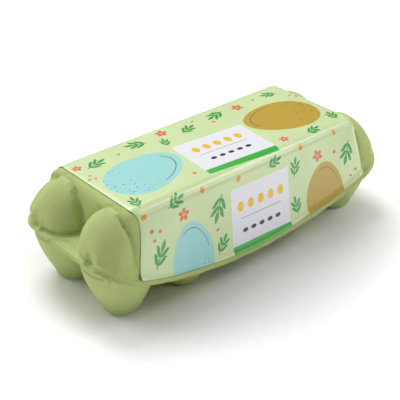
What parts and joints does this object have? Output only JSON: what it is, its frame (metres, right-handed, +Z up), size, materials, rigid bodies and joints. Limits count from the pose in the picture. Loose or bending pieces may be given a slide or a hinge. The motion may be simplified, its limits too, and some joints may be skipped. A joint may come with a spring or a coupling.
{
  "type": "egg carton",
  "caption": "Shut pulp egg carton with domed ends, a low curved front flap and a printed paper round its lid.",
  "frame": {"origin": "on the table, under the middle of the carton", "axes": "+X along the rows of cups, +Y towards the back where lid and tray join, +Z up"},
  "size_m": [0.244, 0.105, 0.0732],
  "materials": {
    "pulp": "matt moulded paper pulp, pistachio green, finely fibrous",
    "printed_paper": "satin printed paper, pale green with leaves, dots, large soft shapes and bare white fields"
  },
  "bodies": {
    "root": {"tray": "pulp", "lid": "pulp", "paper": "printed_paper"}
  },
  "joints": []
}
